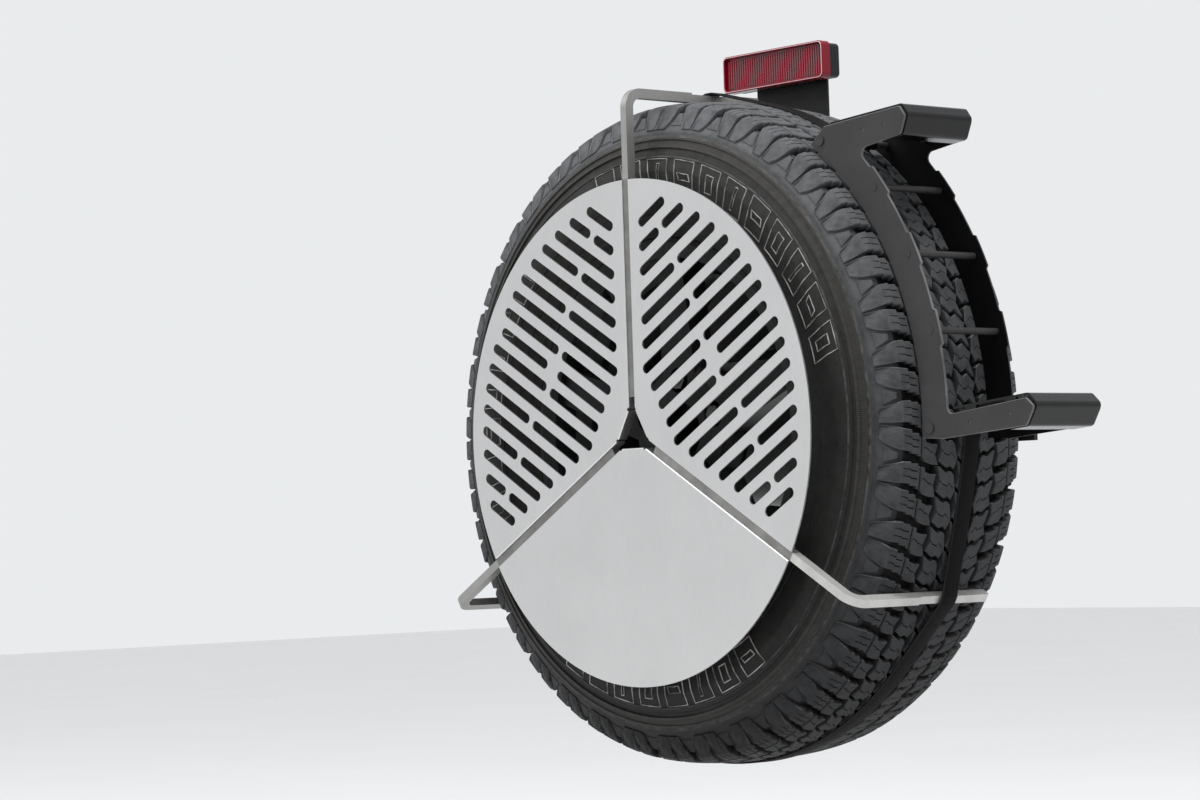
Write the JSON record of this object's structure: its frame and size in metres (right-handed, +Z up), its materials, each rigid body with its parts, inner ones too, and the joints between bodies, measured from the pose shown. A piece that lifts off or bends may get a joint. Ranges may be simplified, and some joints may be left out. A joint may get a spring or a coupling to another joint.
{
  "type": "spare tire carrier",
  "caption": "Tailgate spare wheel carrier with off-road tyre, brake lamp on a stalk, strapped three-legged slotted grate and step bracket.",
  "frame": {"origin": "centre of the tailgate bolt pattern, on the face of the plate that meets the tailgate; the wheel axis runs through it", "axes": "+Z up, +X to the right seen from behind the vehicle, +Y into the vehicle; the wheel axis is Y and the grate faces -Y"},
  "size_m": [0.9845, 0.34, 0.8877],
  "materials": {
    "carrier_black": "satin powder coat",
    "zinc_steel": "zinc plated",
    "rubber_black": "moulded",
    "lamp_black": "fine textured plastic",
    "lamp_red": "gloss",
    "lens_red": "ribbed",
    "board_white": "plain",
    "rim_black": "satin paint",
    "tyre": "matte",
    "stainless": "fine brushed",
    "bar_steel": "mill finish",
    "step_black": "fine textured powder coat",
    "webbing": "woven"
  },
  "bodies": {
    "carrier": {"tailgate_plate": "carrier_black", "standoff_cone": "carrier_black", "standoff_ribs": "carrier_black", "wheel_plate": "carrier_black", "wheel_studs": "zinc_steel", "lug_nuts": "zinc_steel", "stop_arms": "carrier_black", "stop_pads": "rubber_black", "lamp_stalk": "carrier_black", "stalk_bolts": "zinc_steel", "lamp_housing": "lamp_black", "lamp_frame": "lamp_red", "lamp_lens": "lens_red", "lamp_board": "board_white", "rim_barrel": "rim_black", "rim_spokes": "rim_black", "valve_stem": "rubber_black", "tyre": "tyre", "step_plate_front": "step_black", "step_plate_rear": "step_black", "step_upper": "step_black", "step_lower": "step_black", "step_rods": "step_black", "step_bolts": "step_black", "strap_pins": "step_black", "strap_upper": "webbing", "strap_lower": "webbing", "ratchet_frame": "zinc_steel", "ratchet_anchor": "zinc_steel"},
    "grate": {"leg_top": "bar_steel", "leg_left": "bar_steel", "leg_right": "bar_steel", "panel_left": "stainless", "panel_right": "stainless", "panel_lower": "stainless", "leg_screws": "zinc_steel"},
    "handle": {"ratchet_handle": "zinc_steel", "handle_grip": "rubber_black"},
    "spool": {"ratchet_spool": "zinc_steel", "strap_roll": "webbing"},
    "drive_pawl": {"drive_pawl": "zinc_steel"},
    "lock_pawl": {"lock_pawl": "zinc_steel"}
  },
  "joints": [
    {"name": "grate_slide", "type": "slide", "parent": "carrier", "child": "grate", "axis": [0, -1, 0], "range_m": [0, 0.25]},
    {"name": "handle_hinge", "type": "hinge", "parent": "carrier", "child": "handle", "pos_m": [-0.39535, -0.185, 0.14609], "axis": [0, -1, 0], "range_deg": [0, 110]},
    {"name": "spool_turn", "type": "hinge", "parent": "carrier", "child": "spool", "pos_m": [-0.39535, -0.185, 0.14609], "axis": [0, -1, 0], "range_deg": [0, 110]},
    {"name": "drive_pawl_slide", "type": "slide", "parent": "handle", "child": "drive_pawl", "axis": [0.225, 0, 0.9744], "range_m": [0, 0.005], "stiffness_N_per_m": 400, "springref_m": -0.004},
    {"name": "lock_pawl_slide", "type": "slide", "parent": "carrier", "child": "lock_pawl", "axis": [0.682, 0, 0.7314], "range_m": [0, 0.003], "stiffness_N_per_m": 400, "springref_m": -0.004}
  ],
  "couplings": [
    {"joint": "spool_turn", "follows": "handle_hinge", "ratio": 1}
  ]
}
